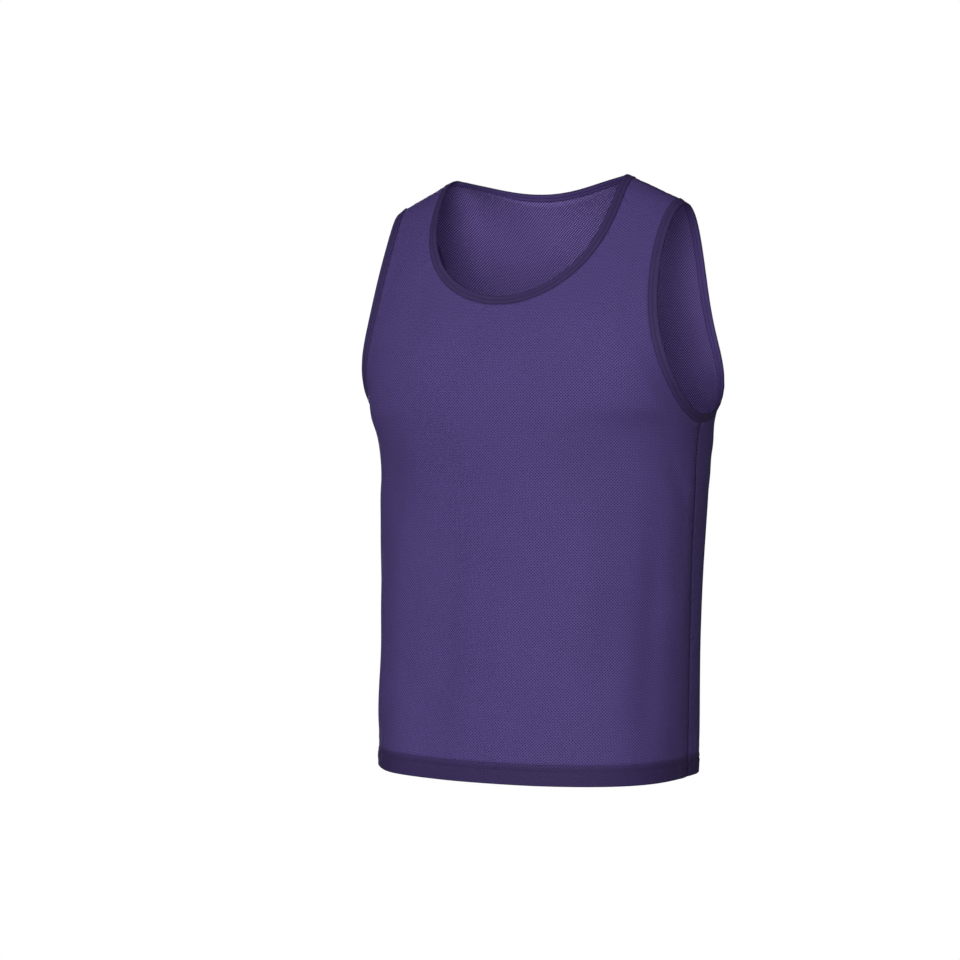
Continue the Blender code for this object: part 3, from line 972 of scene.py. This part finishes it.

# Painted shade: how far it reaches, where it is full and how strong it is, and for the tape where its lines
# lie round its section (its first edge, its stitches, its fold, its stitches inside and its last edge).
SEAM_LINE_SHADE = (0.002, 0.0006)
BESIDE_SEAM_SHADE = (0.0055, 0.001, 0.35)
UNDER_TAPE_SHADE = (GRIP + 0.002, GRIP + 0.0004, 0.38)
HEM_LINE_SHADE = (0.001, 0.0003, 0.25)
PAINTED_CLOTH_SHADE = 0.72
TAPE_SHADE_LINES = (
    (0.0, 0.0012),
    (TAPE_FACE / 2, 0.0007),
    (TAPE_FACE + TAPE_TURN / 2, 0.0024),
    (1.5 * TAPE_FACE + TAPE_TURN, 0.0007),
    (2 * TAPE_FACE + TAPE_TURN, 0.0012),
)
PAINTED_TAPE_SHADE = 0.38


def net_heights(nodes, place, across, up):
    """The net, low in its holes, and its height with the yarn's twists."""
    turn = 2 * math.pi / MESH_PERIOD
    wander = nodes.times(nodes.math("SUBTRACT", nodes.noise(place, 60.0, 1.0), 0.5), WANDER)
    rising = nodes.math("ADD", nodes.math("ADD", across, up), wander)
    falling = nodes.math("SUBTRACT", nodes.math("SUBTRACT", across, up), wander)
    waves_up = nodes.math("COSINE", nodes.times(rising, turn))
    waves_down = nodes.math("COSINE", nodes.times(falling, turn))
    net = nodes.math("SMOOTH_MAX", waves_up, waves_down, CROSSING)
    twist = nodes.math("SINE", nodes.times(across, turn * TWISTS))
    return net, nodes.math("ADD", net, nodes.times(twist, TWIST_HEIGHT))


def painted_cloth_shade(nodes, up, to_seam, to_tape):
    """Painted shade in the seams, beside them, under the tapes' edges and along the hem's stitches."""
    from_seam = nodes.math("ABSOLUTE", to_seam)
    shade_marks = [nodes.mark(from_seam, *SEAM_LINE_SHADE), nodes.mark(from_seam, *BESIDE_SEAM_SHADE)]
    shade_marks.append(nodes.mark(to_tape, *UNDER_TAPE_SHADE))
    shade_marks.extend(nodes.line_at(up, line, *HEM_LINE_SHADE) for line in HEM_LINES)
    return nodes.times(nodes.strongest(shade_marks), PAINTED_CLOTH_SHADE)


def mesh_cloth(name):
    """Knitted mesh: yarn crosses in both diagonals round rows of small holes, with painted shade in them
    outside and painted light inside. It is double at the hem, painted darker as shade, and seams, tapes and
    stitches get lines of painted shade.
    """
    nodes = Nodes(bpy.data.materials.new(name))
    place, across, up = nodes.chart_place("cloth")
    _, to_seam, to_tape = nodes.chart_place("edges")
    net, height = net_heights(nodes, place, across, up)
    hole = nodes.span(net, *HOLE_SPAN)
    fine = nodes.mottle(place, 900.0, 2.0, 0.9, 1.1)
    broad = nodes.mottle(place, 9.0, 3.0, 0.97, 1.03)
    both = nodes.times(fine, broad)
    # Outside, the holes are painted dark: painted shade for the dim inside seen through them.
    single = nodes.mix(hole, nodes.scaled(YARN, both), PAINTED_SHADE_HOLE)
    # Inside, the holes are painted light: painted light coming through them from outside.
    inside_painted_light = nodes.mix(hole, nodes.scaled(INNER_YARN, fine), PAINTED_LIGHT_HOLE)
    # The double hem is painted darker, both yarn and holes: painted shade.
    double = nodes.mix(hole, nodes.scaled(HEM_PAINTED_SHADE_YARN, both), HEM_PAINTED_SHADE_HOLE)
    in_hem = nodes.span(up, *HEM_SPAN)
    outside = nodes.mix(in_hem, single, double)
    inside = nodes.mix(in_hem, inside_painted_light, double)
    cloth = nodes.mix(nodes.span(to_seam, *INSIDE_SPAN), outside, inside)
    # Painted shade in and beside the seams, under the tapes' edges and along the hem's stitches.
    colour = nodes.mix(painted_cloth_shade(nodes, up, to_seam, to_tape), cloth, SEAM_SHADE)
    nodes.bump(height, NET_BUMP, 0.7)
    return nodes.finish(colour, nodes.span(net, -0.5, 1.0, 0.85, 0.68), CLOTH_SHEEN)


def tape_cloth(name):
    """Plain knitted tape: fine ribs of loops along it, lines of painted shade along its edges, stitches and
    fold, and painted light on its inner face.
    """
    nodes = Nodes(bpy.data.materials.new(name))
    place, along, girth = nodes.chart_place("cloth")
    ribs = nodes.math("SINE", nodes.times(girth, 2 * math.pi / RIB))
    loops = nodes.math("SINE", nodes.times(along, 2 * math.pi / LOOP))
    height = nodes.math("ADD", ribs, nodes.times(loops, 0.5))
    fine = nodes.mottle(place, 1400.0, 2.0, 0.88, 1.12)
    broad = nodes.mottle(place, 14.0, 3.0, 0.95, 1.05)
    inner_face = TAPE_FACE + TAPE_TURN
    # The tape's inner face is painted lighter: painted light.
    inner_painted_light = nodes.span(girth, inner_face - 0.001, inner_face, 1.0, TAPE_INNER_PAINTED_LIGHT)
    shade = nodes.times(nodes.times(fine, broad), inner_painted_light)
    # Painted shade along the tape's edges, its stitches and its fold.
    shade_marks = nodes.strongest([nodes.line_at(girth, at, reach, reach / 3) for at, reach in TAPE_SHADE_LINES])
    shade_marks = nodes.times(shade_marks, PAINTED_TAPE_SHADE)
    colour = nodes.mix(shade_marks, nodes.scaled(TAPE_YARN, shade), SEAM_SHADE)
    nodes.bump(height, TAPE_BUMP, 0.6)
    return nodes.finish(colour, 0.75, CLOTH_SHEEN)


def thread(name):
    """Sewing thread, finely mottled."""
    nodes = Nodes(bpy.data.materials.new(name))
    place = nodes.node("TexCoord").outputs["Object"]
    fine = nodes.mottle(place, 1500.0, 1.0, 0.85, 1.15)
    nodes.bump(fine, THREAD_BUMP, 0.5)
    return nodes.finish(nodes.scaled(THREAD_COLOUR, fine), 0.5, THREAD_SHEEN)


def make_camera():
    camera = add_object("camera", bpy.data.cameras.new("camera"))
    bpy.context.scene.camera = camera
    camera.data.sensor_width = SENSOR
    camera.data.lens = SENSOR * FOCAL_PIXELS / PHOTO_SIDE
    azimuth = math.radians(CAMERA_AZIMUTH)
    camera.location = Vector((math.sin(azimuth), -math.cos(azimuth), 0)) * CAMERA_DISTANCE
    camera.location.z = CAMERA_HEIGHT
    down = math.atan((PHOTO_SIDE / 2 - HORIZON_ROW) / FOCAL_PIXELS)
    left = math.atan((AXIS_COLUMN - PHOTO_SIDE / 2) / FOCAL_PIXELS)
    camera.rotation_euler = (math.pi / 2 - down, 0, azimuth + left)


def add_lamp(name, row):
    lamp = add_object(name, bpy.data.lights.new(name, "AREA"))
    lamp.data.shape = "DISK"
    lamp.data.size = row.size
    lamp.data.energy = row.power
    turn, rise = math.radians(row.azimuth), math.radians(row.elevation)
    towards = Vector((math.sin(turn) * math.cos(rise), -math.cos(turn) * math.cos(rise), math.sin(rise)))
    lamp.location = MIDDLE + towards * LAMP_DISTANCE
    lamp.rotation_euler = towards.to_track_quat("Z", "Y").to_euler()
    lamp.visible_camera = False


def white_sky():
    """White to look at, and a weaker even light on everything."""
    world = bpy.data.worlds.new("studio")
    bpy.context.scene.world = world
    sky = Nodes(world)
    fill = sky.tree.nodes["Background"]
    sky.put(fill, {"Color": WHITE, "Strength": FILL})
    seen = sky.node("Background", {"Color": WHITE})
    path = sky.node("LightPath").outputs["Is Camera Ray"]
    either = sky.mix_shader(path, fill.outputs[0], seen.outputs[0])
    sky.put(sky.tree.nodes["World Output"], {"Surface": either})


def pale_floor():
    """A pale floor that is as white as the sky from above and isn't seen from below."""
    mesh = bpy.data.meshes.new("floor")
    disc = bmesh.new()
    bmesh.ops.create_circle(disc, cap_ends=True, radius=FLOOR_RADIUS, segments=96)
    bmesh.ops.translate(disc, verts=disc.verts, vec=(0, 0, FLOOR_HEIGHT))
    disc.to_mesh(mesh)
    disc.free()
    pale = Nodes(bpy.data.materials.new("pale_floor"))
    pale.put(pale.shader, {"Base Color": FLOOR_GREY, "Roughness": 1.0})
    path = pale.node("LightPath").outputs["Is Camera Ray"]
    below = pale.node("NewGeometry").outputs["Backfacing"]
    white = pale.node("Emission")
    clear = pale.node("BsdfTransparent")
    above = pale.mix_shader(path, pale.shader.outputs[0], white.outputs[0])
    either = pale.mix_shader(below, above, clear.outputs[0])
    pale.put(pale.tree.nodes["Material Output"], {"Surface": either})
    mesh.materials.append(pale.owner)
    add_object("floor", mesh)


def make_studio():
    bpy.context.scene.view_settings.view_transform = "Standard"
    white_sky()
    pale_floor()
    for name, row in LAMPS.items():
        add_lamp(name, row)


def main():
    make_camera()
    front_piece, front, front_half = panel("front", FRONT, mesh_cloth("front_mesh_cloth"))
    back_piece, back, back_half = panel("back", BACK, mesh_cloth("back_mesh_cloth"))
    neck = even_ring(*neck_ring(front, back))
    left = even_ring(*armhole_ring(front, back, 1))
    right = even_ring(*armhole_ring(front, back, -1))
    tape = tape_cloth("tape_cloth")
    sewing = thread("sewing_thread")
    neck_piece = binding("neck_tape_ring", neck, tape)
    left_piece = binding("left_armhole_tape_ring", left, tape)
    right_piece = binding("right_armhole_tape_ring", right, tape)
    binding_stitches = stitches("binding_stitches", binding_seams((neck, left, right)), sewing)
    hem_stitches = stitches("hem_stitches", hem_seams(front, back, front_half), sewing)

    for piece, node, slot in (
        (front_piece, "front_panel", "front_mesh"),
        (back_piece, "back_panel", "back_mesh"),
        (neck_piece, "neck_binding", "neck_tape"),
        (left_piece, "armhole_binding_left", "left_armhole_tape"),
        (right_piece, "armhole_binding_right", "right_armhole_tape"),
    ):
        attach(piece, BODY)
        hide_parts(node)
    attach(binding_stitches, BODY)
    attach(hem_stitches, BODY)

    make_studio()


main()
